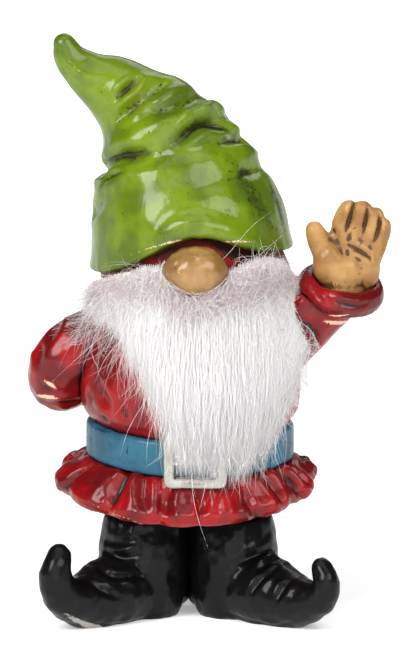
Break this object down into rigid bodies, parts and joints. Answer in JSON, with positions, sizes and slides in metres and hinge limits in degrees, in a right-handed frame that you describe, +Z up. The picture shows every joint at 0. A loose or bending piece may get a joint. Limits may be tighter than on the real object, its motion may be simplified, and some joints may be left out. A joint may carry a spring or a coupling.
{
  "type": "garden gnome",
  "caption": "Small painted resin garden gnome in a slouched pointed hat, with a fur beard, belted tunic and curled boots, waving with its left hand.",
  "frame": {"origin": "centre of the bounding box at the soles, which stand on z = 0", "axes": "+Z up; the gnome faces -Y; its raised left hand is at +X"},
  "size_m": [0.0748, 0.0556, 0.1206],
  "materials": {
    "green_paint": "gloss hand-painted cast resin",
    "red_paint": "gloss hand-painted cast resin with a dark wash",
    "dark_red_paint": "satin hand-painted cast resin",
    "skin_paint": "satin hand-painted cast resin with a brown wash",
    "blue_paint": "satin hand-painted cast resin",
    "silver_paint": "silver paint on cast resin",
    "black_paint": "gloss hand-painted cast resin, worn at the sole",
    "steel": "bright steel wire",
    "backing_cloth": "woven cloth",
    "white_fur": "long soft synthetic pile"
  },
  "bodies": {
    "root": {"hat": "green_paint", "head": "dark_red_paint", "nose": "skin_paint", "beard_fur": "white_fur", "beard_backing": "backing_cloth", "torso": "red_paint", "tunic_frill": "red_paint", "belt": "blue_paint", "belt_buckle": "silver_paint", "left_sleeve": "red_paint", "left_cuff": "red_paint", "left_hand": "skin_paint", "left_wrist_pin": "steel", "right_sleeve": "red_paint", "right_cuff": "red_paint", "right_hand": "skin_paint", "right_wrist_pin": "steel", "trousers": "dark_red_paint", "right_boot": "black_paint", "left_boot": "black_paint"}
  },
  "joints": []
}
